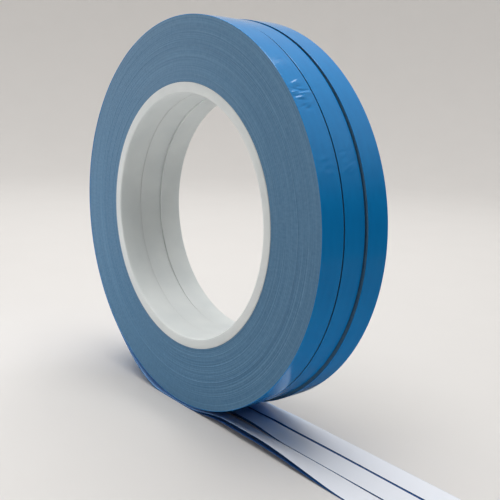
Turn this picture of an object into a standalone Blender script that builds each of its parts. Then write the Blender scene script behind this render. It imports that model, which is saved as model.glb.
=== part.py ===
"""Three narrow rolls of double-sided tape, standing side by side on a table.

Each roll is a plastic core with the wound tape on it. The tape comes off the
roll at the bottom and lies on the table as a short tail: the blue release film
below, and the white adhesive tape on top of it.

Units are metres and +Z is up. The rolls turn about Y, their front faces look
towards -Y, and the tails lie along +X. The origin is on the table, straight
below the middle roll's axis and halfway along its width.
"""
import math

import bmesh
import bpy
from mathutils import Vector

# ---------------------------------------------------------------- dimensions
ROLL_NAMES = ("front", "middle", "rear")

TAPE_WIDTH = 0.0078             # width of the slit tape, and so of a roll
CORE_BORE_DIAMETER = 0.0762     # a three-inch core
CORE_WALL = 0.00305
CORE_CHAMFER = 0.0003
WOUND_DIAMETER = 0.1212         # outside of the wound tape
FILM_THICKNESS = 0.00010        # blue release film
TAPE_THICKNESS = 0.00015        # white adhesive tape

TAIL_LENGTH = 0.115             # tail's free end, measured from the roll's axis
LIFT_LINE = 0.050               # where the tail bends when it is picked up
PEEL_LINE = 0.085               # where the tape's tip comes off its film
LANDING = 0.010                 # loose turn meets the table this far behind the axis
LOOSE_ANGLE = math.radians(42)  # loose turn leaves the roll here, from the bottom
WRAP_ANGLE = math.radians(100)  # and it hugs the roll up to here

ROLL_RISES = (0.00035, 0.00025, 0.0)  # each roll stands this much above its lowest place
REAR_ROLL_SHIFT = 0.0006        # rear roll sits this far towards the tails

ROLL_GAP = 0.0003               # side gap between two rolls
WIND_GAP = 0.0003               # between a core and the tape wound on it
RUN_GAP = 0.0003                # between a turning roll and the still tape round it
LAYER_GAP = 0.00005             # between the film and the tape above it
BUTT_GAP = 0.0003               # between two stretches of one layer at a bend line

RING_STEPS = 72                 # facets round a core or a winding
BEND_STEPS = 12                 # facets along each bend of a lead
MERGE_DISTANCE = 0.00001        # joins the last facet of a ring to the first
AXIS_MARK_SIZE = 0.010          # drawn size of the empties that mark the axes

# ------------------------------------------------------------ derived values
CORE_BORE_RADIUS = CORE_BORE_DIAMETER / 2
CORE_RADIUS = CORE_BORE_RADIUS + CORE_WALL
WOUND_RADIUS = WOUND_DIAMETER / 2
FILM_MIDDLE = FILM_THICKNESS / 2
TAPE_MIDDLE = FILM_THICKNESS + LAYER_GAP + TAPE_THICKNESS / 2
TAIL_THICKNESS = FILM_THICKNESS + LAYER_GAP + TAPE_THICKNESS
WRAP_RADIUS = WOUND_RADIUS + RUN_GAP + TAIL_THICKNESS
AXIS_HEIGHT = TAIL_THICKNESS + RUN_GAP + WOUND_RADIUS
ROLL_PITCH = TAPE_WIDTH + ROLL_GAP

# colour, roughness
FINISHES = {
    "core_plastic": ((0.80, 0.81, 0.80), 0.45),
    "wound_edge": ((0.12, 0.22, 0.32), 0.70),
    "release_film": ((0.01, 0.15, 0.45), 0.15),
    "adhesive_tape": ((0.70, 0.72, 0.78), 0.40),
}


def clear_scene():
    """Remove every object that the new file starts with."""
    for obj in list(bpy.data.objects):
        bpy.data.objects.remove(obj, do_unlink=True)


def make_collection(name):
    collection = bpy.data.collections.new(name)
    bpy.context.scene.collection.children.link(collection)
    return collection


def make_material(name, finish):
    """A Principled material in one of the named finishes."""
    colour, roughness = FINISHES[finish]
    material = bpy.data.materials.new(name)
    material.use_nodes = True
    shader = material.node_tree.nodes["Principled BSDF"]
    shader.inputs["Base Color"].default_value = (*colour, 1.0)
    shader.inputs["Roughness"].default_value = roughness
    shader.inputs["Metallic"].default_value = 0.0
    material.diffuse_color = (*colour, 1.0)
    return material


def add_object(name, data, parent, finish, collection):
    """Put data in the scene as a named piece with its own material."""
    obj = bpy.data.objects.new(name, data)
    obj.parent = parent
    data.materials.append(make_material(f"{name}_{finish}", finish))
    collection.objects.link(obj)
    return obj


def add_axis(name, location, parent, collection):
    """An empty that marks the axis of a joint."""
    empty = bpy.data.objects.new(name, None)
    empty.empty_display_size = AXIS_MARK_SIZE
    empty.location = location
    empty.parent = parent
    collection.objects.link(empty)
    return empty


# ------------------------------------------------------------ turned pieces
def turned_ring(name, profile, parent, finish, collection):
    """Turn a closed profile of (radius, height) points about the roll's axis.

    The profile starts at the outer top corner and runs down the outer side.
    """
    mesh = bpy.data.meshes.new(name)
    count = len(profile)
    points = [(radius, 0.0, height) for radius, height in profile]
    edges = [(i, (i + 1) % count) for i in range(count)]
    mesh.from_pydata(points, edges, [])
    obj = add_object(name, mesh, parent, finish, collection)
    obj.rotation_euler = (math.radians(90), 0.0, 0.0)

    screw = obj.modifiers.new("Turn", "SCREW")
    screw.axis = "Z"
    screw.angle = math.tau
    screw.steps = RING_STEPS
    screw.render_steps = RING_STEPS
    screw.use_merge_vertices = True
    screw.merge_threshold = MERGE_DISTANCE
    screw.use_smooth_shade = True
    return obj


def ring_profile(inner, outer, width, chamfer):
    """Section of a ring with all four corners chamfered."""
    top = width / 2
    return [
        (outer - chamfer, top),
        (outer, top - chamfer),
        (outer, chamfer - top),
        (outer - chamfer, -top),
        (inner + chamfer, -top),
        (inner, chamfer - top),
        (inner, top - chamfer),
        (inner + chamfer, top),
    ]


def plain_ring_profile(inner, outer, width):
    """Section of a ring with square corners."""
    top = width / 2
    return [(outer, top), (outer, -top), (inner, -top), (inner, top)]


def make_core(roll, axis, collection):
    profile = ring_profile(CORE_BORE_RADIUS, CORE_RADIUS, TAPE_WIDTH, CORE_CHAMFER)
    return turned_ring(f"core_{roll}", profile, axis, "core_plastic", collection)


def make_winding(roll, axis, collection):
    """Tape and film wound together, as one solid ring."""
    profile = plain_ring_profile(CORE_RADIUS + WIND_GAP, WOUND_RADIUS, TAPE_WIDTH)
    return turned_ring(f"winding_{roll}", profile, axis, "wound_edge", collection)


# ------------------------------------------------------------- tape and film
def add_bezier_point(point, position, back, forward):
    """Place a Bezier point with free handles at offsets back and forward."""
    point.handle_left_type = "FREE"
    point.handle_right_type = "FREE"
    point.co = (position.x, position.y, 0.0)
    left = position + back
    right = position + forward
    point.handle_left = (left.x, left.y, 0.0)
    point.handle_right = (right.x, right.y, 0.0)


def arc_handle(radius, angle):
    """Handle length that bends one Bezier segment into an arc."""
    return radius * math.tan(angle / 4) * 4 / 3


def make_lead(name, axis_x, axis_z, middle, thickness, parent, finish, collection):
    """One layer, from where it hugs the roll down to the table and on to the lift line.

    middle is the height of the layer's own middle above the outer face of the
    film. The path lies in the object's XY plane, which the object's rotation
    turns into the world's XZ plane.
    """
    centre = Vector((axis_x, axis_z))
    radius = WRAP_RADIUS - middle

    def on_roll(angle):
        return centre + radius * Vector((-math.sin(angle), -math.cos(angle)))

    def along(angle):
        """Direction of travel, down the back of the roll towards its bottom."""
        return Vector((math.cos(angle), -math.sin(angle)))

    forward = Vector((1.0, 0.0))
    none = Vector((0.0, 0.0))
    leaving = along(LOOSE_ANGLE)
    hug = arc_handle(radius, WRAP_ANGLE - LOOSE_ANGLE)
    landing = Vector((axis_x - LANDING, middle))
    chord = (landing - on_roll(LOOSE_ANGLE)).length
    loose = arc_handle(chord / (2 * math.sin(LOOSE_ANGLE / 2)), LOOSE_ANGLE)
    end = Vector((LIFT_LINE - BUTT_GAP / 2, middle))
    run = (end - landing) / 3

    curve = bpy.data.curves.new(name, "CURVE")
    curve.dimensions = "2D"
    curve.fill_mode = "NONE"
    curve.resolution_u = BEND_STEPS
    curve.render_resolution_u = BEND_STEPS
    curve.extrude = TAPE_WIDTH / 2
    spline = curve.splines.new("BEZIER")
    spline.bezier_points.add(3)
    points = spline.bezier_points
    add_bezier_point(points[0], on_roll(WRAP_ANGLE), none, hug * along(WRAP_ANGLE))
    add_bezier_point(points[1], on_roll(LOOSE_ANGLE), -hug * leaving, loose * leaving)
    add_bezier_point(points[2], landing, -loose * forward, run)
    add_bezier_point(points[3], end, -run, none)

    obj = add_object(name, curve, parent, finish, collection)
    obj.rotation_euler = (math.radians(90), 0.0, 0.0)
    solidify = obj.modifiers.new("Thickness", "SOLIDIFY")
    solidify.thickness = thickness
    solidify.offset = 0.0
    solidify.use_even_offset = True
    return obj


def make_strip(name, start, end, middle, thickness, parent, finish, collection):
    """A flat stretch of one layer on the table, from start to end along X."""
    mesh = bpy.data.meshes.new(name)
    shape = bmesh.new()
    bmesh.ops.create_cube(shape, size=1.0)
    bmesh.ops.scale(shape, vec=(end - start, TAPE_WIDTH, thickness), verts=shape.verts)
    shape.to_mesh(mesh)
    shape.free()
    obj = add_object(name, mesh, parent, finish, collection)
    world = Vector(((start + end) / 2, parent.matrix_world.translation.y, middle))
    obj.location = world - parent.matrix_world.translation
    return obj


# ------------------------------------------------------------------ assembly
def make_roll(roll, y, axis_x, axis_z, collection):
    """Core and winding, which turn together about the roll's axis."""
    axis = add_axis(f"axis_{roll}", (axis_x, y, axis_z), None, collection)
    make_core(roll, axis, collection)
    make_winding(roll, axis, collection)


def make_tail(roll, y, axis_x, axis_z, collection):
    """Film and tape that have come off the roll and lie on the table."""
    base = add_axis(f"tail_base_{roll}", (0.0, y, 0.0), None, collection)
    lift = add_axis(f"lift_axis_{roll}", (LIFT_LINE, y, TAIL_THICKNESS), None, collection)
    bpy.context.view_layer.update()
    peel_offset = (PEEL_LINE - LIFT_LINE, 0.0, 0.0)
    peel = add_axis(f"peel_axis_{roll}", peel_offset, lift, collection)
    bpy.context.view_layer.update()

    half_gap = BUTT_GAP / 2
    film = (FILM_MIDDLE, FILM_THICKNESS)
    tape = (TAPE_MIDDLE, TAPE_THICKNESS)
    make_lead(f"film_lead_{roll}", axis_x, axis_z, *film, base, "release_film", collection)
    make_lead(f"tape_lead_{roll}", axis_x, axis_z, *tape, base, "adhesive_tape", collection)
    make_strip(f"film_tail_{roll}", LIFT_LINE + half_gap, TAIL_LENGTH, *film,
               lift, "release_film", collection)
    make_strip(f"tape_tail_{roll}", LIFT_LINE + half_gap, PEEL_LINE - half_gap, *tape,
               lift, "adhesive_tape", collection)
    make_strip(f"tape_tip_{roll}", PEEL_LINE + half_gap, TAIL_LENGTH, *tape,
               peel, "adhesive_tape", collection)


def main():
    clear_scene()
    collection = make_collection("tape_roll_set")
    for index, roll in enumerate(ROLL_NAMES):
        y = (index - (len(ROLL_NAMES) - 1) / 2) * ROLL_PITCH
        axis_x = REAR_ROLL_SHIFT if roll == "rear" else 0.0
        axis_z = AXIS_HEIGHT + ROLL_RISES[index]
        make_roll(roll, y, axis_x, axis_z, collection)
        make_tail(roll, y, axis_x, axis_z, collection)


main()
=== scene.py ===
# %% [markdown]
# # Three narrow tape rolls
#
# The object is a set of three rolls of double-sided adhesive tape that stand side by side. Each roll is one
# long strip of white tape, wound on a white plastic core together with a glossy blue release film that keeps
# the turns from sticking to each other. The loose end of every roll runs down its back, under it and out on
# the table towards the viewer.
#
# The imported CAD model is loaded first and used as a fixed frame: every new surface takes its place and its
# size from the boxes of the CAD nodes, and stands in for them.

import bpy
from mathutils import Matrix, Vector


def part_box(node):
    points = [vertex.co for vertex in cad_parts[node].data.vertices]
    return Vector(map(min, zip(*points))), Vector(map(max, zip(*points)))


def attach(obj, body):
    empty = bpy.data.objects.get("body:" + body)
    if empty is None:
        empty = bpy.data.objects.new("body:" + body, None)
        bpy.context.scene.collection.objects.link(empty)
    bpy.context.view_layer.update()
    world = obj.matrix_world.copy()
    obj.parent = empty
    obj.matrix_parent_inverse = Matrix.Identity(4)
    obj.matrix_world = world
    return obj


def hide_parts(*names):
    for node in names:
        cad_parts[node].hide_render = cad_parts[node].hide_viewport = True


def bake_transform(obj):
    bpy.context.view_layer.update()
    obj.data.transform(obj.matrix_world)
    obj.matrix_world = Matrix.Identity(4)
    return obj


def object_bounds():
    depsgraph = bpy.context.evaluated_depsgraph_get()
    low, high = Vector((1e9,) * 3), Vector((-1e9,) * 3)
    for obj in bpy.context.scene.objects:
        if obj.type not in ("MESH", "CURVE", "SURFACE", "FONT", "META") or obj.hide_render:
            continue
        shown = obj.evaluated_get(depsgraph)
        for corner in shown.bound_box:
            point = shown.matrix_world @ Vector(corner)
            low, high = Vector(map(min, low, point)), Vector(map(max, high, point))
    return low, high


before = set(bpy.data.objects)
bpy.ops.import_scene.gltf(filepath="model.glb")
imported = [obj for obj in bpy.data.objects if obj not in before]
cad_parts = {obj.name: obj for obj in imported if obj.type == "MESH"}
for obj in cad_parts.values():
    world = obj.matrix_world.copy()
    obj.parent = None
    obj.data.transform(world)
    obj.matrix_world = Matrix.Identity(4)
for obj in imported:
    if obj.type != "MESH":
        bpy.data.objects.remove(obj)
cad_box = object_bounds()
print("CAD box:", cad_box)

# %% Other modules
import math

import bmesh
import bpy
import numpy as np
from mathutils import Matrix, Vector

MM = 0.001
ROLLS = ("front", "middle", "rear")

# %% [markdown]
# ## Sizes of one roll
#
# A roll is described by the axis it turns about, the half width of its tape and four radii: the bore, the
# joint between core and winding, the outside, and the outside of the loose turn that hugs its back. The bore
# is the three-inch standard. All the rest is read off the boxes of the CAD nodes, so that the pieces made
# here can't disagree with the frame. The rear roll is wound a little fuller than the middle one and stands
# proud of it, so the dark seam between them shows up to the very top.

# %% Read each roll's axis and radii
FULLER = {"front": 0.0, "middle": -0.04 * MM, "rear": 0.28 * MM}
rolls = {}
for name in ROLLS:
    core_low, core_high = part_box("core_" + name)
    wound_low, wound_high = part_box("winding_" + name)
    film_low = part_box("film_lead_" + name)[0]
    rolls[name] = {
        "axis_x": (wound_low.x + wound_high.x) / 2,
        "axis_z": (wound_low.z + wound_high.z) / 2,
        "middle_y": (wound_low.y + wound_high.y) / 2,
        "half_width": (wound_high.y - wound_low.y) / 2,
        "core_radius": (core_high.x - core_low.x) / 2,
        "wound_radius": (wound_high.x - wound_low.x) / 2 + FULLER[name],
        "wrap_radius": (wound_low.x + wound_high.x) / 2 - film_low.x,
    }
    print(name, {key: round(value / MM, 3) for key, value in rolls[name].items()})

BORE_RADIUS = 38.1 * MM        # a three-inch core
TAPE_THICKNESS = 0.15 * MM
FILM_THICKNESS = 0.10 * MM
TURN_PITCH = TAPE_THICKNESS + FILM_THICKNESS
HAIR = 0.02 * MM               # smallest distance kept between two faces
PATTERN_UNIT = 100 * MM        # one unit of the UV maps of film and tape

# %% [markdown]
# ## From formula to mesh
#
# Every piece here is a surface with two parameters. Numpy works out the whole grid of points at once, and one
# helper turns the grid into a mesh: each cell becomes one face, and a grid that closes on itself shares its
# first and last points, so there is no seam to see. An open end gets a flat cap. The same helper stores a
# second grid as the UV map, where a pattern has to follow the surface.

# %% Grid to mesh
def surface(name, points, close_rows=False, close_columns=False, uv=None):
    """A mesh object from a grid of points shaped (rows, columns, 3).

    Neighbours in the grid are joined by one four-sided face. A closed direction joins its last line of points
    to its first. The uv grid has one line more in each closed direction, so that it can count on past the
    place where the surface meets itself.
    """
    rows, columns = points.shape[:2]
    index = np.arange(rows * columns).reshape(rows, columns)
    if close_rows:
        index = np.vstack([index, index[:1]])
    if close_columns:
        index = np.hstack([index, index[:, :1]])
    corners = [index[:-1, :-1], index[1:, :-1], index[1:, 1:], index[:-1, 1:]]
    faces = np.stack(corners, axis=-1).reshape(-1, 4)

    mesh = bpy.data.meshes.new(name)
    mesh.from_pydata(points.reshape(-1, 3), [], faces)
    mesh.polygons.foreach_set("use_smooth", np.ones(len(faces), bool))
    if uv is not None:
        spots = [uv[:-1, :-1], uv[1:, :-1], uv[1:, 1:], uv[:-1, 1:]]
        layer = mesh.uv_layers.new(name="pattern")
        layer.data.foreach_set("uv", np.stack(spots, axis=2).ravel())

    shell = bmesh.new()
    shell.from_mesh(mesh)
    ends = [edge for edge in shell.edges if edge.is_boundary]
    if ends:
        for edge in ends:
            edge.smooth = False
        for cap in bmesh.ops.holes_fill(shell, edges=ends)["faces"]:
            cap.smooth = False
    bmesh.ops.recalc_face_normals(shell, faces=shell.faces)
    shell.to_mesh(mesh)
    shell.free()

    piece = bpy.data.objects.new(name, mesh)
    bpy.context.scene.collection.objects.link(piece)
    return piece


def smooth_step(value, start, end):
    """0 before start, 1 after end, and the curve 3t^2 - 2t^3 between them."""
    t = np.clip((value - start) / (end - start), 0, 1)
    return t * t * (3 - 2 * t)


def turned(profile, angle, roll):
    """A profile of (radius, y) points carried round the roll's own axis.

    The result has one row for each angle. The angle counts from straight to the right and upwards, seen from
    the front.
    """
    radius = profile[..., 0]
    x = roll["axis_x"] + radius * np.cos(angle)
    z = roll["axis_z"] + radius * np.sin(angle)
    y = roll["middle_y"] + profile[..., 1] + 0 * angle
    return np.stack([x, y, z], axis=-1)

# %% [markdown]
# ## The cores
#
# Each core is a plain ring cut from an extruded tube of white polypropylene. The saw leaves flat ends and a
# narrow eased edge inside and out, and that thin edge is what catches the light. A tube with a Bevel modifier
# would come close, but its edges would all be alike. Here the section is a rectangle with four quarter
# rounds, each of its own radius, carried once round the axis.

# %% Rounded section
def rounded_box_section(low, high, roundings, steps=5, fills=(3, 12, 3, 12)):
    """Points round a rectangle from low to high whose corners are quarter circles.

    The corners come in the order high-high, low-high, low-low, high-low, each with its own radius and with
    steps + 1 points. The straight side after each corner gets its number of fills, spread evenly.
    """
    quarter = np.linspace(0, np.pi / 2, steps + 1)
    reach = [(high[0], high[1]), (low[0], high[1]), (low[0], low[1]), (high[0], low[1])]
    inward = [(-1, -1), (1, -1), (1, 1), (-1, 1)]
    arcs = []
    for corner in range(4):
        radius = roundings[corner]
        turn = quarter + corner * np.pi / 2
        centre = np.array(reach[corner]) + radius * np.array(inward[corner])
        arcs.append(centre + radius * np.stack([np.cos(turn), np.sin(turn)], axis=-1))
    parts = []
    for corner in range(4):
        start = arcs[corner][-1]
        end = arcs[(corner + 1) % 4][0]
        share = np.linspace(0, 1, fills[corner] + 2)[1:-1, None]
        parts.append(arcs[corner])
        parts.append(start + (end - start) * share)
    return np.concatenate(parts)


OUTER_EDGE = 0.35 * MM         # eased edge where a core shows its end
INNER_EDGE = 0.07 * MM         # and where it stands against the next core
CORE_PROUD = 0.13 * MM         # the cores nearly touch, though the tape on them doesn't
CORE_STEPS = 240

# %% Build the cores
core_angles = np.linspace(0, 2 * np.pi, CORE_STEPS, endpoint=False)[:, None]
cores = {}
for name, roll in rolls.items():
    front_edge = OUTER_EDGE if name == "front" else INNER_EDGE
    back_edge = OUTER_EDGE if name == "rear" else INNER_EDGE
    section = rounded_box_section(
        (BORE_RADIUS, -roll["half_width"] - CORE_PROUD),
        (roll["core_radius"], roll["half_width"] + CORE_PROUD),
        (INNER_EDGE, back_edge, front_edge, INNER_EDGE),
    )
    points = turned(section[None, :, :], core_angles, roll)
    piece = surface("core_ring_" + name, points, close_rows=True, close_columns=True)
    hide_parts("core_" + name)
    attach(piece, name + "_roll")
    cores[name] = piece
    print(piece.name, len(piece.data.polygons), "faces")

# %% [markdown]
# ## The wound sides
#
# Between the core and the outside lie almost eighty turns of tape and film. From the side only their slit
# edges show: fine rings, a quarter of a millimetre apart. No turn is laid quite flush with the one before, so
# some rings stand a few hundredths of a millimetre proud, drift in and out round the roll, and catch the
# light as thin arcs. A bump pattern could draw the rings on a flat face, but they would be lost in the
# exported mesh. So each turn is modelled, with its own small offset, its own slow wave, and a groove where it
# meets its neighbour.

# %% Profile of the wound side
WOUND_STEPS = 168
FILM_BAND = 0.16 * MM          # depth of the outermost turn, which is a piece of its own
CORE_FIT = 0.03 * MM           # the innermost turn starts this far off the core
TURN_SHAPE = (0.0, 0.25, 0.85)  # groove and the two edges of the flat top, as shares of a turn
GROOVE_DEPTH = 0.030 * MM
TURN_OFFSET = 0.012 * MM       # usual unevenness of the turns
PROUD_OFFSET = 0.045 * MM      # and that of the few that stand out
PROUD_SHARE = 0.07
TURN_DRIFT = 0.008 * MM        # slow in-and-out of a turn on its way round
LOWEST_TURN = -0.08 * MM
HIGHEST_TURN = 0.05 * MM
SEAM_RECESS = 0.50 * MM        # sides that face the next roll lie deeper, so the seam is dark
TURNS_IN_UNIT = 100            # turns in one unit of the wound side's UV map
FRONT_SEED = 11
BACK_SEED = 31


def wound_side(roll, seed):
    """Radius and outward height of one wound side for every angle, as an array (angles, points, 2).

    Every turn has three points: the groove, and the two edges of its flat top. The height of a top is the sum
    of a fixed offset and of a sine wave along the angle with its own phase.
    """
    random = np.random.default_rng(seed)
    inner = roll["core_radius"] + CORE_FIT
    outer = roll["wound_radius"] - FILM_BAND
    turns = int(round((outer - inner) / TURN_PITCH))
    start = inner + np.arange(turns) * (outer - inner) / turns
    share = np.array(TURN_SHAPE) * (outer - inner) / turns
    radius = (start[:, None] + share[None, :]).ravel()

    angle = np.linspace(0, 2 * np.pi, WOUND_STEPS, endpoint=False)[:, None]
    offset = random.normal(0, TURN_OFFSET, turns)
    proud = random.random(turns) < PROUD_SHARE
    offset = offset + proud * PROUD_OFFSET * random.random(turns)
    waves = random.integers(1, 4, turns)
    phase = random.uniform(0, 2 * np.pi, turns)
    drift = TURN_DRIFT * np.sin(waves * angle + phase)
    top = offset + drift
    height = np.stack([top - GROOVE_DEPTH, top, top], axis=-1).reshape(WOUND_STEPS, -1)
    return radius, np.clip(height, LOWEST_TURN, HIGHEST_TURN)

# %% Build the wound sides
wound = {}
for number, (name, roll) in enumerate(rolls.items()):
    radius, front = wound_side(roll, FRONT_SEED + number)
    back = wound_side(roll, BACK_SEED + number)[1]
    rim = roll["wound_radius"] - FILM_BAND
    front_y = -roll["half_width"] + (0 if name == "front" else SEAM_RECESS)
    back_y = roll["half_width"] - (0 if name == "rear" else SEAM_RECESS)
    front_side = np.stack([radius + 0 * front, front_y - front], axis=-1)
    back_side = np.stack([radius + 0 * back, back_y + back], axis=-1)[:, ::-1]
    rim_points = np.array([[rim, front_y], [rim, back_y]])
    rim_points = np.broadcast_to(rim_points, (WOUND_STEPS, 2, 2))
    profile = np.concatenate([front_side, rim_points, back_side], axis=1)
    angle = np.linspace(0, 2 * np.pi, WOUND_STEPS, endpoint=False)[:, None]
    points = turned(profile, angle, roll)
    around = np.linspace(0, 1, WOUND_STEPS + 1)[:, None]
    layers = (profile[0, :, 0] - roll["core_radius"]) / TURN_PITCH / TURNS_IN_UNIT
    layers = np.append(layers, layers[0])[None, :]
    uv = np.stack([around + 0 * layers, layers + 0 * around], axis=-1)
    piece = surface("wound_turns_" + name, points, close_rows=True, close_columns=True, uv=uv)
    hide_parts("winding_" + name)
    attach(piece, name + "_roll")
    wound[name] = piece
    print(piece.name, len(piece.data.polygons), "faces")

# %% [markdown]
# ## The outermost turn of film
#
# The outside of each roll is one glossy band of blue film. It was wound tight, but thin film never lies
# perfectly flat: there are short ripples across it where it was handled, and long shallow waves along it.
# A noise texture as bump would be quicker, but it can't put a ripple where a hand pressed. So both are real
# bumps in the mesh, the waves a few thousandths and the ripples up to a fifth of a millimetre high: a
# mirror-like surface shows even small ones as bent reflections.

# %% Ripples of the film
BAND_EDGE = 0.05 * MM
SEAM_MARGINS = {               # how far each film stops short of its front and back edge
    "front": (0.0, 0.05 * MM),
    "middle": (0.22 * MM, 0.05 * MM),
    "rear": (0.05 * MM, 0.0),
}
DEGREE = math.pi / 180
LONG_WAVES = (5, 9, 14, 23, 37)  # numbers of waves round the roll
LONG_WAVE_HEIGHT = 0.010 * MM  # divided by the number of waves
LONG_WAVE_SLANT = 0.06         # radians, at most, from the middle of the film to its edge
CREASE_SPREAD = 0.35           # of the creases of one spot across the film, as a share of its half width
CREASE_TURN = (0.28, 0.22)     # mean and spread, in radians
CREASE_LENGTH = (1.1, 3.0)     # least and most half size, in millimetres
CREASE_WIDTH = (0.35, 0.80)
HANDLED_SPOTS = {              # angle, place across, spread, number of creases, height
    "front": [
        (39.5 * DEGREE, -0.15, 2.5 * DEGREE, 26, 0.200 * MM),
        (21 * DEGREE, 0.0, 2.2 * DEGREE, 22, 0.030 * MM),
    ],
    "middle": [
        (43 * DEGREE, -0.6, 2.0 * DEGREE, 12, 0.025 * MM),
        (21 * DEGREE, 0.1, 2.6 * DEGREE, 24, 0.034 * MM),
    ],
    "rear": [],
}


def crease(angle, across, roll, centre, side, turn, length, width, height):
    """One short crease: a ridge under a bell curve that is long one way and narrow the other.

    centre is its angle on the roll, side its place across the film from -1 to 1, and turn its direction,
    counted from straight across the film. length and width are the half sizes of the bell.
    """
    along = (angle - centre) * roll["wound_radius"]
    sideways = (across - side) * roll["half_width"]
    far = sideways * math.cos(turn) + along * math.sin(turn)
    near = along * math.cos(turn) - sideways * math.sin(turn)
    return height * np.exp(-((far / length) ** 2) - (near / width) ** 2)


def handled_spot(name, roll, angle, across, centre, side, spread, count, height):
    """Where the film was pressed: many short creases, strewn round one spot by its spread."""
    random = np.random.default_rng(int(100 * centre) + ROLLS.index(name) + count)
    relief = 0 * angle + 0 * across
    for number in range(count):
        relief = relief + crease(
            angle,
            across,
            roll,
            centre + random.normal(0, spread),
            side + random.normal(0, CREASE_SPREAD),
            random.normal(*CREASE_TURN),
            random.uniform(*CREASE_LENGTH) * MM,
            random.uniform(*CREASE_WIDTH) * MM,
            height * random.uniform(-1, 1),
        )
    return relief


def film_relief(name, roll, angle, across):
    """Height of the outermost turn above its even radius: long waves all round, and its handled spots."""
    random = np.random.default_rng(3 + ROLLS.index(name))
    relief = 0 * angle + 0 * across
    for order in LONG_WAVES:
        phase = random.uniform(0, 2 * np.pi)
        slant = random.uniform(-LONG_WAVE_SLANT, LONG_WAVE_SLANT)
        relief = relief + LONG_WAVE_HEIGHT / order * np.sin(order * (angle + slant * across) + phase)
    for spot in HANDLED_SPOTS[name]:
        relief = relief + handled_spot(name, roll, angle, across, *spot)
    return relief

# %% Build the film bands
RIPPLED = (12, 50)             # degrees of the arc that needs fine steps for its ripples
band_angles = np.concatenate(
    [
        np.linspace(RIPPLED[0], RIPPLED[1], 380, endpoint=False) * DEGREE,
        np.linspace(RIPPLED[1], RIPPLED[0] + 360, 400, endpoint=False) * DEGREE,
    ]
)[:, None]
film_bands = {}
for name, roll in rolls.items():
    half = roll["half_width"]
    front_margin, back_margin = SEAM_MARGINS[name]
    section = rounded_box_section(
        (roll["wound_radius"] - FILM_BAND, front_margin - half),
        (roll["wound_radius"], half - back_margin),
        (BAND_EDGE, BAND_EDGE, BAND_EDGE, BAND_EDGE),
        3,
        (1, 6, 1, 42),
    )
    across = (section[:, 1] / half)[None, :]
    outside = section[:, 0] > roll["wound_radius"] - 0.5 * FILM_BAND
    relief = film_relief(name, roll, band_angles, across) * outside[None, :]
    profile = np.stack(
        [section[None, :, 0] + relief, section[None, :, 1] + 0 * relief], axis=-1
    )
    points = turned(profile, band_angles, roll)
    run = np.vstack([band_angles, band_angles[:1] + 2 * np.pi]) * roll["wound_radius"] / PATTERN_UNIT
    cross = np.append(section[:, 1], section[0, 1])[None, :] / PATTERN_UNIT
    uv = np.stack([run + 0 * cross, cross + 0 * run], axis=-1)
    piece = surface("film_turn_" + name, points, close_rows=True, close_columns=True, uv=uv)
    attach(piece, name + "_roll")
    film_bands[name] = piece
    print(piece.name, len(piece.data.polygons), "faces")

# %% [markdown]
# ## The path of the loose ends
#
# From the back of its roll the last turn comes away, falls in a loose bow to the table and runs out under the
# roll. A cloth simulation could settle it, but the result would hang on its settings. One path describes it
# as well: an arc that hugs the roll, a cubic Bezier curve for the bow, and a straight line on the table. Tape
# and film are both carried along this path at their own height above it.

# %% Path of a loose end
LANDING = 10 * MM              # the strip meets the table this far behind its roll's axis
LOOSE_ANGLE = math.radians(42)  # counted from straight under the roll: where the bow starts,
WRAP_ANGLE = math.radians(90)  # where the strip stands off the roll in full,
FEATHER_ANGLE = math.radians(150)  # and where it begins
STRIP_STEP = 0.6 * MM
TAIL_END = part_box("film_tail_front")[1].x
PEEL_X = (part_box("tape_tail_front")[1].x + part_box("tape_tip_front")[0].x) / 2


def bezier(start, handle_a, handle_b, end, count):
    """Points on a cubic Bezier curve: the four points weighted by (1-t)^3, 3t(1-t)^2, 3t^2(1-t) and t^3."""
    t = np.linspace(0, 1, count)[:, None]
    return (
        (1 - t) ** 3 * start
        + 3 * t * (1 - t) ** 2 * handle_a
        + 3 * t**2 * (1 - t) * handle_b
        + t**3 * end
    )


def loose_path(roll, end_x):
    """The outer face of the film in the plane of the roll, from where it leaves the winding to end_x.

    Above the wrap angle the radius closes in on the winding, so that the strip fades into it.
    """
    centre = np.array([roll["axis_x"], roll["axis_z"]])
    hugging = np.linspace(FEATHER_ANGLE, LOOSE_ANGLE, 110)[:, None]
    close = smooth_step(hugging, FEATHER_ANGLE, WRAP_ANGLE)
    radius = roll["wound_radius"] + HAIR
    radius = radius + (roll["wrap_radius"] - radius) * close
    arc = centre + radius * np.hstack([-np.sin(hugging), -np.cos(hugging)])
    leaving = np.array([math.cos(LOOSE_ANGLE), -math.sin(LOOSE_ANGLE)])
    landing = np.array([roll["axis_x"] - LANDING, 0.0])
    chord = np.linalg.norm(landing - arc[-1])
    handle = 4 / 3 * math.tan(LOOSE_ANGLE / 4) * chord / (2 * math.sin(LOOSE_ANGLE / 2))
    forward = np.array([1.0, 0.0])
    bow = bezier(arc[-1], arc[-1] + handle * leaving, landing - handle * forward, landing, 60)
    count = int((end_x - landing[0]) / STRIP_STEP)
    table_x = np.linspace(landing[0], end_x, count)
    flat = np.stack([table_x, 0 * table_x], axis=-1)
    return np.concatenate([arc[:-1], bow[:-1], flat])


def path_frame(path):
    """Distance along a path of points, and the direction square to it that points towards the roll."""
    step = np.gradient(path, axis=0)
    length = np.linalg.norm(step, axis=1, keepdims=True)
    along = step / length
    inward = np.stack([-along[:, 1], along[:, 0]], axis=-1)
    gaps = np.linalg.norm(np.diff(path, axis=0), axis=1)
    return np.concatenate([[0], np.cumsum(gaps)]), inward

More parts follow.
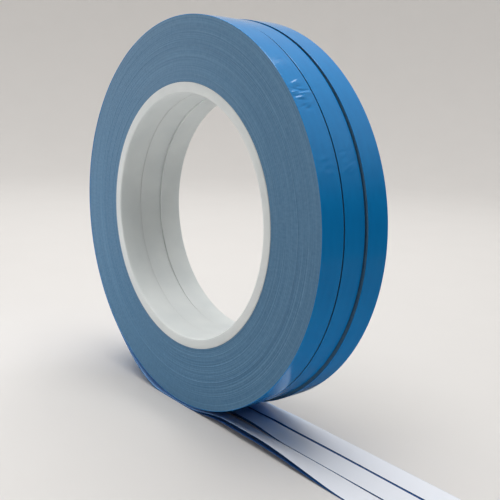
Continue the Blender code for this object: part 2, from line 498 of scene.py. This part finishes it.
# %% [markdown]
# ## The strips on the table
#
# Film and tape are the same long ribbon twice: a thin rectangle with eased edges, carried along the path. The
# front strip doesn't lie flat. Just in front of the roll the near edge of its tape curls up by three
# millimetres and shows a dark sliver of blue film underneath, then it settles on the table. The middle one
# does the same more faintly, and the rear one hardly at all. A lattice could bend them too, but a formula for
# the rise keeps both edges exact, and each strip has its own numbers in one table.

# %% Bends of the strips
LIFTS = {                      # height, where it goes up, where it comes down, and its power across
    "front": (3.0 * MM, (4 * MM, 24 * MM), (38 * MM, 74 * MM), 1.2),
    "middle": (1.3 * MM, (6 * MM, 22 * MM), (24 * MM, 44 * MM), 1.6),
    "rear": (0.25 * MM, (6 * MM, 24 * MM), (26 * MM, 36 * MM), 1.0),
}
FILM_SHARE = 0.62              # how much of the tape's lift its film follows
WAVE_HEIGHT = 0.05 * MM
WAVE_RADIAN = 9 * MM           # length of strip to one radian of its wave
FILM_DRIFT = {"front": -0.15 * MM, "middle": 0.05 * MM, "rear": 0.10 * MM}
TAPE_DRIFT = {"front": 0.20 * MM, "middle": 0.10 * MM, "rear": 0.60 * MM}
FRONT_RETURN = 0.35 * MM       # how far the front tape comes away again
WAVE_START = (20 * MM, 50 * MM)  # each of these sets in between two places along the table
DRIFT_START = (20 * MM, 32 * MM)
RETURN_START = (58 * MM, 80 * MM)
EDGE_SHARE = 0.4               # eased edge of a layer, as a share of its thickness
NEARLY = 1e-9


def strip_rise(name, kind, x, across):
    """How far a layer rises off the table at a place along it and across it, from -1 near to 1 far.

    Along the strip it goes up and down again by two smooth steps, and across it by a power of the distance
    from the edge that stays down. A low sine wave runs on along one edge. The film only follows the tape for
    a share of the way.
    """
    height, up, down, power = LIFTS[name]
    share = FILM_SHARE if kind == "film_strip" else 1.0
    near = np.clip((1 - across) / 2, 0, 1)
    wave = WAVE_HEIGHT * (1 + np.sin(x / WAVE_RADIAN + ROLLS.index(name)))
    wave = wave * smooth_step(x, *WAVE_START)
    waving = 1 - near if name == "middle" else near
    bump = smooth_step(x, *up) * (1 - smooth_step(x, *down))
    return share * (height * bump * near**power + wave * waving)


def strip_drift(name, kind, x):
    """How far a layer has wandered sideways on the table, by one smooth step.

    The tapes have slid a little on their films, so a line of blue film shows beside them. The front tape
    leans towards the middle one and comes away again towards its end.
    """
    amount = FILM_DRIFT[name] if kind == "film_strip" else TAPE_DRIFT[name]
    drift = amount * smooth_step(x, *DRIFT_START)
    if name == "front" and kind != "film_strip":
        drift = drift - FRONT_RETURN * smooth_step(x, *RETURN_START)
    return drift


def strip(name, kind, low, high, start_x=None, end_x=TAIL_END):
    """A ribbon of one layer, between the heights low and high above the path of its roll.

    Its section is a rounded rectangle across the roll's width. With start_x the ribbon begins there on the
    table, otherwise behind the roll. Its UV map counts from the place where it lands.
    """
    roll = rolls[name]
    path = loose_path(roll, PEEL_X)
    beyond = np.arange(PEEL_X, TAIL_END + STRIP_STEP / 2, STRIP_STEP)[1:]
    path = np.vstack([path, np.stack([beyond, 0 * beyond], axis=-1)])
    path[-1, 0] = TAIL_END
    distance, inward = path_frame(path)
    on_table = path[:, 1] < NEARLY
    kept = path[:, 0] <= end_x + NEARLY
    if start_x is not None:
        kept = kept & (path[:, 0] >= start_x - NEARLY) & on_table
    distance = distance - distance[np.argmax(on_table)]
    path, distance, inward = path[kept], distance[kept], inward[kept]
    half = roll["half_width"]
    edge = EDGE_SHARE * (high - low)
    section = rounded_box_section(
        (low, -half), (high, half), (edge, edge, edge, edge), 2, (1, 16, 1, 16)
    )
    height = section[None, :, 0]
    y = section[None, :, 1] + 0 * height
    place = path[:, None, :] + inward[:, None, :] * height[..., None]
    rise = strip_rise(name, kind, path[:, :1], y / half)
    y = roll["middle_y"] + y + strip_drift(name, kind, place[..., 0])
    points = np.stack([place[..., 0], y, place[..., 1] + rise], axis=-1)
    run = distance[:, None] / PATTERN_UNIT
    cross = np.append(section[:, 1], section[0, 1])[None, :] / PATTERN_UNIT
    uv = np.stack([run + 0 * cross, cross + 0 * run], axis=-1)
    return surface(f"{kind}_{name}", points, close_columns=True, uv=uv)

# %% Build film and tape
CAD_LAYER_GAP = 0.05 * MM      # the tape's top lies where the CAD has it
FILM_LOW = 0.0
FILM_HIGH = FILM_THICKNESS
TAPE_LOW = FILM_HIGH + HAIR
TAPE_HIGH = FILM_HIGH + CAD_LAYER_GAP + TAPE_THICKNESS
films = {}
tapes = {}
tips = {}
for name, roll in rolls.items():
    film = strip(name, "film_strip", FILM_LOW, FILM_HIGH)
    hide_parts("film_lead_" + name, "film_tail_" + name)
    tape = strip(name, "tape_strip", TAPE_LOW, TAPE_HIGH, end_x=PEEL_X)
    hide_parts("tape_lead_" + name, "tape_tail_" + name)
    for piece in (film, tape):
        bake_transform(piece)
    tip = strip(name, "tape_end", TAPE_LOW, TAPE_HIGH, start_x=PEEL_X)
    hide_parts("tape_tip_" + name)
    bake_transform(tip)
    films[name] = film
    tapes[name] = tape
    tips[name] = tip
    print(film.name, len(film.data.polygons), tape.name, len(tape.data.polygons), "faces")

# %% [markdown]
# ## Tools for the finishes
#
# A material here is a small network of nodes that ends in one Principled BSDF shader. It could be wired by
# hand in the Shader Editor. Here one function adds any node with its settings and links, so that a network
# reads as a list, and another turns the hex colours that people read into the linear values that the shader
# needs.

# %% Node and colour helpers
def add_node(material, kind, settings=None, links=None):
    """One node of the material. links gives each input a value, or the output of another node."""
    tree = material.node_tree
    node = tree.nodes.new(kind)
    for key, value in (settings or {}).items():
        setattr(node, key, value)
    for key, value in (links or {}).items():
        if isinstance(value, bpy.types.NodeSocket):
            tree.links.new(value, node.inputs[key])
        else:
            node.inputs[key].default_value = value
    return node


def linear(hex_colour):
    """An sRGB colour such as "#1a75bc" as linear red, green, blue and alpha, by the sRGB curve."""
    channels = [int(hex_colour[place : place + 2], 16) / 255 for place in (1, 3, 5)]
    curve = [c / 12.92 if c <= 0.04045 else ((c + 0.055) / 1.055) ** 2.4 for c in channels]
    return (*curve, 1.0)


def new_finish(name):
    """An empty material and the Principled shader that it ends in."""
    material = bpy.data.materials.new(name)
    material.use_nodes = True
    material.node_tree.nodes.clear()
    shader = add_node(material, "ShaderNodeBsdfPrincipled")
    add_node(
        material, "ShaderNodeOutputMaterial", links={"Surface": shader.outputs["BSDF"]}
    )
    return material, shader


def blend_colours(material, factor, dark, light, low=0.3, high=0.7):
    """A colour between two hex colours, as the factor goes from low to high."""
    ramp = add_node(material, "ShaderNodeValToRGB", links={"Fac": factor})
    first, last = ramp.color_ramp.elements
    first.position = low
    first.color = linear(dark)
    last.position = high
    last.color = linear(light)
    return ramp.outputs["Color"]


def between(material, factor, low, high):
    """A number between low and high, as the factor goes from 0 to 1."""
    node = add_node(
        material,
        "ShaderNodeMapRange",
        links={"Value": factor, "To Min": low, "To Max": high},
    )
    return node.outputs["Result"]

# %% [markdown]
# ## White polypropylene
#
# The cores are extruded polypropylene: a soft white plastic that lets some light in, with a satin skin. A
# little subsurface light softens the shading inside the bore. A mottle about a centimetre wide keeps the skin
# from looking like paint, and shallow dents a millimetre apart roughen it as the saw did.

# %% Core finish
plastic, shader = new_finish("extruded_polypropylene_white")
where = add_node(plastic, "ShaderNodeTexCoord").outputs["Object"]
mottle = add_node(
    plastic, "ShaderNodeTexNoise", links={"Vector": where, "Scale": 90.0, "Detail": 4.0}
)
saw = add_node(
    plastic, "ShaderNodeTexNoise", links={"Vector": where, "Scale": 900.0, "Detail": 2.0}
)
colour = blend_colours(plastic, mottle.outputs["Fac"], "#dde3e4", "#e6ebeb")
plastic.node_tree.links.new(colour, shader.inputs["Base Color"])
rough = between(plastic, mottle.outputs["Fac"], 0.34, 0.50)
plastic.node_tree.links.new(rough, shader.inputs["Roughness"])
dents = add_node(
    plastic, "ShaderNodeBump", links={"Height": saw.outputs["Fac"], "Strength": 0.15, "Distance": 0.00005}
)
plastic.node_tree.links.new(dents.outputs["Normal"], shader.inputs["Normal"])
shader.inputs["IOR"].default_value = 1.49
shader.inputs["Subsurface Weight"].default_value = 0.35
shader.inputs["Subsurface Radius"].default_value = (1.0, 1.0, 1.0)
shader.inputs["Subsurface Scale"].default_value = 0.002
for piece in cores.values():
    piece.data.materials.append(plastic)
print(plastic.name, "on", len(cores), "cores")

# %% [markdown]
# ## Slit edges of tape and film
#
# Seen from the side, white tape and blue film mix to a dull slate blue. The slitting knife leaves a matt
# surface. The UV map counts the turns in one direction and the way round in the other, so the pattern can
# give each turn its own shade, let it drift slowly round the roll, and lay the knife's chatter marks across
# it, about a millimetre apart.

# %% Wound edge finish
edges, shader = new_finish("slit_tape_edges_slate")
turns = add_node(edges, "ShaderNodeUVMap", {"uv_map": "pattern"}).outputs["UV"]
stretched = add_node(
    edges, "ShaderNodeMapping", links={"Vector": turns, "Scale": (2.0, 100.0, 1.0)}
).outputs["Vector"]
each_turn = add_node(
    edges, "ShaderNodeTexNoise", links={"Vector": stretched, "Scale": 1.4, "Detail": 3.0, "Roughness": 0.75}
)
hatched = add_node(
    edges, "ShaderNodeMapping", links={"Vector": turns, "Scale": (420.0, 16.0, 1.0)}
).outputs["Vector"]
chatter = add_node(
    edges, "ShaderNodeTexNoise", links={"Vector": hatched, "Scale": 1.0, "Detail": 2.0}
)
both = add_node(
    edges,
    "ShaderNodeMath",
    {"operation": "MULTIPLY_ADD"},
    {0: chatter.outputs["Fac"], 1: 0.30, 2: each_turn.outputs["Fac"]},
).outputs[0]
colour = blend_colours(edges, both, "#31668f", "#6e9bbd", 0.34, 0.94)
edges.node_tree.links.new(colour, shader.inputs["Base Color"])
rough = between(edges, each_turn.outputs["Fac"], 0.34, 0.50)
edges.node_tree.links.new(rough, shader.inputs["Roughness"])
shader.inputs["IOR"].default_value = 1.5
for piece in wound.values():
    piece.data.materials.append(edges)
print(edges.name, "on", len(wound), "windings")

# %% [markdown]
# ## Blue release film
#
# The film is cast polyethylene with a silicone face: saturated blue, smooth and glossy. Casting leaves faint
# streaks along its length, so the colour and the gloss vary in streaks about eight millimetres long and two
# wide. The ripples are in the mesh, so the finish needs no bump of its own.

# %% Film finish
blue_film, shader = new_finish("cast_release_film_blue")
along = add_node(blue_film, "ShaderNodeUVMap", {"uv_map": "pattern"}).outputs["UV"]
streaked = add_node(
    blue_film, "ShaderNodeMapping", links={"Vector": along, "Scale": (1.0, 4.0, 1.0)}
).outputs["Vector"]
streaks = add_node(
    blue_film, "ShaderNodeTexNoise", links={"Vector": streaked, "Scale": 12.0, "Detail": 4.0}
)
colour = blend_colours(blue_film, streaks.outputs["Fac"], "#1586cf", "#178dd6")
blue_film.node_tree.links.new(colour, shader.inputs["Base Color"])
rough = between(blue_film, streaks.outputs["Fac"], 0.09, 0.13)
blue_film.node_tree.links.new(rough, shader.inputs["Roughness"])
shader.inputs["IOR"].default_value = 1.5
for piece in film_bands.values():
    piece.data.materials.append(blue_film)
print(blue_film.name, "on", len(film_bands), "pieces")

# %% [markdown]
# ## The same film on the table
#
# Where a strip lies on the table, its film is covered by the tape and only shows as a line beside it. There
# it lies in the shade of the tape, and that shade is painted: its colour darkens over the first two
# centimetres from the place where the strip lands.

# %% Loose film finish
painted_shade_film, shader = new_finish("cast_release_film_shaded")
along = add_node(painted_shade_film, "ShaderNodeUVMap", {"uv_map": "pattern"}).outputs["UV"]
parts = add_node(painted_shade_film, "ShaderNodeSeparateXYZ", links={"Vector": along})
streaks = add_node(
    painted_shade_film, "ShaderNodeTexNoise", links={"Vector": along, "Scale": 14.0, "Detail": 4.0}
)
# painted shade: distance from the landing, which darkens the film's colour below
painted_shade_run = add_node(
    painted_shade_film,
    "ShaderNodeMath",
    {"operation": "MULTIPLY_ADD"},
    {0: streaks.outputs["Fac"], 1: 0.05, 2: parts.outputs["X"]},
).outputs[0]
# painted shade: from bright blue behind the roll to deep navy two centimetres out on the table
colour = blend_colours(painted_shade_film, painted_shade_run, "#1589d2", "#114a88", 0.0, 0.22)
painted_shade_film.node_tree.links.new(colour, shader.inputs["Base Color"])
rough = between(painted_shade_film, streaks.outputs["Fac"], 0.14, 0.22)
painted_shade_film.node_tree.links.new(rough, shader.inputs["Roughness"])
shader.inputs["IOR"].default_value = 1.5
for piece in films.values():
    piece.data.materials.append(painted_shade_film)
print(painted_shade_film.name, "on", len(films), "pieces")

# %% [markdown]
# ## White tape, sticky side up
#
# The tape is a thin white carrier with clear adhesive on it. The adhesive has a soft shine, slightly patchy
# where it was pulled off the film. Near the roll a painted blue cast stands for the blue light that the
# roll's film throws on it, and fades from the second to the fifth centimetre on the table. The two slit sides
# are painted slate blue like the wound edges, partly for the cut and partly as painted shade under the lifted
# edge. The UV map counts from the place where the strip lands, in units of 100 mm, and across from its
# middle.

# %% Tape finish
sticky, shader = new_finish("adhesive_tape_white")
along = add_node(sticky, "ShaderNodeUVMap", {"uv_map": "pattern"}).outputs["UV"]
pulled = add_node(
    sticky, "ShaderNodeMapping", links={"Vector": along, "Scale": (2.0, 5.0, 1.0)}
).outputs["Vector"]
smears = add_node(
    sticky, "ShaderNodeTexNoise", links={"Vector": pulled, "Scale": 8.0, "Detail": 4.0}
)
parts = add_node(sticky, "ShaderNodeSeparateXYZ", links={"Vector": along})
painted_roll_light = add_node(
    sticky,
    "ShaderNodeMath",
    {"operation": "MULTIPLY_ADD"},
    {0: smears.outputs["Fac"], 1: 0.06, 2: parts.outputs["X"]},
).outputs[0]
# painted light: a blue cast near the roll, for the blue light that the roll's film throws on the tape
faces = blend_colours(sticky, painted_roll_light, "#9fcdff", "#ebeff7", 0.20, 0.50)
off_middle = add_node(
    sticky, "ShaderNodeMath", {"operation": "ABSOLUTE"}, {0: parts.outputs["Y"]}
).outputs[0]
# partly painted shade: the slate edge of the tape stands for the cut and for the shade under its lifted edge
SLIT_AND_SHADE_DEPTH = 0.06 * MM         # the rounded edge of the tape, which shows the cut
slit_and_shade_start = (rolls["front"]["half_width"] - SLIT_AND_SHADE_DEPTH) / PATTERN_UNIT
slit_and_shade = add_node(
    sticky, "ShaderNodeMath", {"operation": "GREATER_THAN"}, {0: off_middle, 1: slit_and_shade_start}
).outputs[0]
FIRST_COLOUR, SECOND_COLOUR, MIXED_COLOUR = 6, 7, 2  # the Mix node's sockets for colours
# the slit sides get slate blue, partly for the cut and partly as painted shade
colour = add_node(
    sticky,
    "ShaderNodeMix",
    {"data_type": "RGBA"},
    {"Factor": slit_and_shade, FIRST_COLOUR: faces, SECOND_COLOUR: linear("#2c5c8c")},
).outputs[MIXED_COLOUR]
sticky.node_tree.links.new(colour, shader.inputs["Base Color"])
rough = between(sticky, smears.outputs["Fac"], 0.20, 0.28)
sticky.node_tree.links.new(rough, shader.inputs["Roughness"])
shader.inputs["IOR"].default_value = 1.47
for piece in (*tapes.values(), *tips.values()):
    piece.data.materials.append(sticky)
print(sticky.name, "on", len(tapes) + len(tips), "pieces")

# %% [markdown]
# ## The table and the backdrop
#
# The set stands on a pale table that curves up into a pale wall all round, like a studio cove. The cove is a
# surface of revolution: flat in the middle, a quarter circle, then upright. Its colour is painted a little
# paler on the way up, as painted light on the wall, and it bounces the light softly from every side, which a
# plain ground plane would not. Glossy surfaces would mirror the whole cove and turn milky, so reflections see
# the room around it and, close to the rolls, a small disc of the table.

# %% Cove
COVE_FLAT = 0.62
COVE_BEND = 0.55
COVE_TOP = 1.6


def cove_profile():
    """Radius and height of the cove: a flat floor, a quarter circle and an upright wall."""
    turn = np.linspace(0, np.pi / 2, 24)
    bend = np.stack(
        [COVE_FLAT + COVE_BEND * np.sin(turn), COVE_BEND * (1 - np.cos(turn))], axis=-1
    )
    floor = np.linspace(0.002, COVE_FLAT, 12, endpoint=False)
    flat = np.stack([floor, 0 * floor], axis=-1)
    wall = np.array([[COVE_FLAT + COVE_BEND, COVE_TOP]])
    return np.concatenate([flat, bend, wall])


def round_stage(name, profile, height, middle=(0.0, 0.0)):
    """A stage object: the profile carried round the middle of the table, lowered to the height."""
    angle = np.linspace(0, 2 * np.pi, 96, endpoint=False)[:, None]
    radius = profile[None, :, 0]
    points = np.stack(
        [
            middle[0] + radius * np.cos(angle),
            middle[1] + radius * np.sin(angle),
            profile[None, :, 1] + height + 0 * angle,
        ],
        axis=-1,
    )
    rows, columns = points.shape[:2]
    index = np.arange(rows * columns).reshape(rows, columns)
    index = np.vstack([index, index[:1]])
    corners = [index[:-1, :-1], index[:-1, 1:], index[1:, 1:], index[1:, :-1]]
    faces = np.stack(corners, axis=-1).reshape(-1, 4).tolist()
    faces.append(index[:-1, 0][::-1].tolist())
    mesh = bpy.data.meshes.new(name)
    mesh.from_pydata(points.reshape(-1, 3), [], faces)
    mesh.polygons.foreach_set("use_smooth", np.ones(len(faces), bool))
    stage = bpy.data.objects.new(name, mesh)
    bpy.context.scene.collection.objects.link(stage)
    return stage


paper, shader = new_finish("matt_white_board")
where = add_node(paper, "ShaderNodeTexCoord").outputs["Object"]
grain = add_node(
    paper, "ShaderNodeTexNoise", links={"Vector": where, "Scale": 30.0, "Detail": 3.0}
)
parts = add_node(paper, "ShaderNodeSeparateXYZ", links={"Vector": where})
# painted light: the board's colour gets paler higher up the wall
painted_wall_light = add_node(
    paper,
    "ShaderNodeMapRange",
    {"interpolation_type": "SMOOTHSTEP"},
    {"Value": parts.outputs["Z"], "From Min": 0.15, "From Max": 0.75, "To Min": 0.0, "To Max": 0.8},
).outputs["Result"]
shade = add_node(
    paper,
    "ShaderNodeMath",
    {"operation": "MULTIPLY_ADD"},
    {0: grain.outputs["Fac"], 1: 0.2, 2: painted_wall_light},
).outputs[0]
colour = blend_colours(paper, shade, "#d9d7d5", "#e6e4e2", 0.0, 1.0)
paper.node_tree.links.new(colour, shader.inputs["Base Color"])
shader.inputs["Roughness"].default_value = 0.9
shader.inputs["Specular IOR Level"].default_value = 0.1

TABLE_Z = -0.02 * MM
cove = round_stage("studio_cove", cove_profile(), TABLE_Z)
cove.data.materials.append(paper)
cove.visible_glossy = False
DISC_RADIUS = 0.22
DISC_MIDDLE = (0.0, 0.10)
disc_radius = np.linspace(0.002, DISC_RADIUS, 6)
disc_profile = np.stack([disc_radius, 0 * disc_radius], axis=-1)
disc = round_stage("table_disc", disc_profile, TABLE_Z, DISC_MIDDLE)
disc.data.materials.append(paper)
disc.visible_camera = False
disc.visible_diffuse = False
disc.visible_shadow = False
disc.visible_transmission = False
print("cove radius", COVE_FLAT + COVE_BEND, "m")

# %% [markdown]
# ## Light
#
# One large softbox hangs over the table, a weaker one fills from the left, and a small card low in front on
# the left bounces light up onto the wound side. The room that the reflections see is bright overhead and
# behind on the left, and dark behind the camera and low down on the right, which keeps the flank of the film
# deep blue. A black flag stands round the right side and the back. Only light that bounces off matt surfaces
# meets it, so it keeps the cove from filling in that flank and shows nowhere else.

# %% Lamps
def softbox(name, place, target, size, power, colour):
    """A square area light of the given size in metres, aimed from its place at the target."""
    lamp = bpy.data.lights.new(name, "AREA")
    lamp.shape = "SQUARE"
    lamp.size = size
    lamp.energy = power
    lamp.color = linear(colour)[:3]
    holder = bpy.data.objects.new(name, lamp)
    direction = Vector(target) - Vector(place)
    turn = direction.to_track_quat("-Z", "Y").to_matrix().to_4x4()
    holder.matrix_world = Matrix.Translation(place) @ turn
    bpy.context.scene.collection.objects.link(holder)
    return holder


overhead = softbox("overhead_softbox", (-0.08, 0.05, 0.85), (-0.02, 0, 0), 0.82, 7.4, "#fffefd")
fill = softbox("left_fill", (-0.80, -0.40, 0.18), (0, 0, 0.06), 0.5, 0.6, "#fbfcff")
bounce = softbox("low_bounce_card", (-0.10, -0.12, 0.01), (-0.02, 0, 0.03), 0.08, 0.05, "#fdfdff")
bounce.visible_glossy = False

# %% Room seen in reflections
room = bpy.data.worlds.new("room")
room.use_nodes = True
room.node_tree.nodes.clear()
direction = add_node(room, "ShaderNodeTexCoord").outputs["Generated"]
parts = add_node(room, "ShaderNodeSeparateXYZ", links={"Vector": direction})
leftward = add_node(
    room,
    "ShaderNodeMapRange",
    {"interpolation_type": "SMOOTHSTEP"},
    {"Value": parts.outputs["X"], "From Min": 0.25, "From Max": -0.95, "To Min": 0.0, "To Max": 0.60},
).outputs["Result"]
upward = add_node(
    room,
    "ShaderNodeMapRange",
    {"interpolation_type": "SMOOTHSTEP"},
    {"Value": parts.outputs["Z"], "From Min": 0.10, "From Max": 0.62, "To Min": 0.0, "To Max": 0.56},
).outputs["Result"]
behind_camera = add_node(
    room,
    "ShaderNodeMapRange",
    {"interpolation_type": "SMOOTHSTEP"},
    {"Value": parts.outputs["Y"], "From Min": -0.75, "From Max": -0.46, "To Min": 0.20, "To Max": 1.0},
).outputs["Result"]
from_left = add_node(
    room, "ShaderNodeMath", {"operation": "MULTIPLY"}, {0: leftward, 1: behind_camera}
).outputs[0]
brightness = add_node(
    room, "ShaderNodeMath", {"operation": "MAXIMUM"}, {0: from_left, 1: upward}
).outputs[0]
glow = add_node(
    room,
    "ShaderNodeBackground",
    links={"Color": linear("#fbfaf8"), "Strength": brightness},
).outputs["Background"]
add_node(room, "ShaderNodeOutputWorld", links={"Surface": glow})
bpy.context.scene.world = room
bpy.context.scene.view_settings.view_transform = "Standard"
print("lamps:", [overhead.name, fill.name, bounce.name])

# %% Black flag
FLAG_RADIUS = 0.42
FLAG_HEIGHT = 0.34
FLAG_START, FLAG_END = -50, 85  # degrees round the table, from straight to the right
flag_turn = np.radians(np.linspace(FLAG_START, FLAG_END, 26))[:, None]
flag_height = np.array([[0.0, FLAG_HEIGHT]])
flag_points = np.stack(
    [
        FLAG_RADIUS * np.cos(flag_turn) + 0 * flag_height,
        FLAG_RADIUS * np.sin(flag_turn) + 0 * flag_height,
        flag_height + 0 * flag_turn,
    ],
    axis=-1,
)
black_cloth, shader = new_finish("black_flag_cloth")
shader.inputs["Base Color"].default_value = linear("#0c0c0d")
shader.inputs["Roughness"].default_value = 0.95
flag = surface("black_flag", flag_points)
flag.data.materials.append(black_cloth)
flag.visible_camera = False
flag.visible_glossy = False
flag.visible_shadow = False
print(flag.name, len(flag.data.polygons), "faces")

# %% [markdown]
# ## Camera
#
# The camera stands close to the set, on its right and a little above it, and looks back at it along the
# tails. It is placed by where it stands, the point it aims at and a small roll about its own line of sight.

# %% Camera
front_axis = Vector((rolls["front"]["axis_x"], cad_box[0][1], rolls["front"]["axis_z"]))
CAMERA_PLACE = front_axis + Vector((0.18748, -0.13012, 0.03814))
CAMERA_AIM = front_axis + Vector((0.03280, 0.0, -0.00421))
CAMERA_ROLL = math.radians(2.2)
CAMERA_LENS = 53.4
camera = bpy.data.cameras.new("camera")
camera.sensor_width = 36.0
camera.lens = CAMERA_LENS
camera.clip_start = 0.01
viewer = bpy.data.objects.new("camera", camera)
look = (CAMERA_AIM - CAMERA_PLACE).to_track_quat("-Z", "Y").to_matrix().to_4x4()
tilt = Matrix.Rotation(CAMERA_ROLL, 4, "Z")
viewer.matrix_world = Matrix.Translation(CAMERA_PLACE) @ look @ tilt
bpy.context.scene.collection.objects.link(viewer)
bpy.context.scene.camera = viewer
print("camera stands", round((CAMERA_PLACE - CAMERA_AIM).length / MM), "mm from its aim")
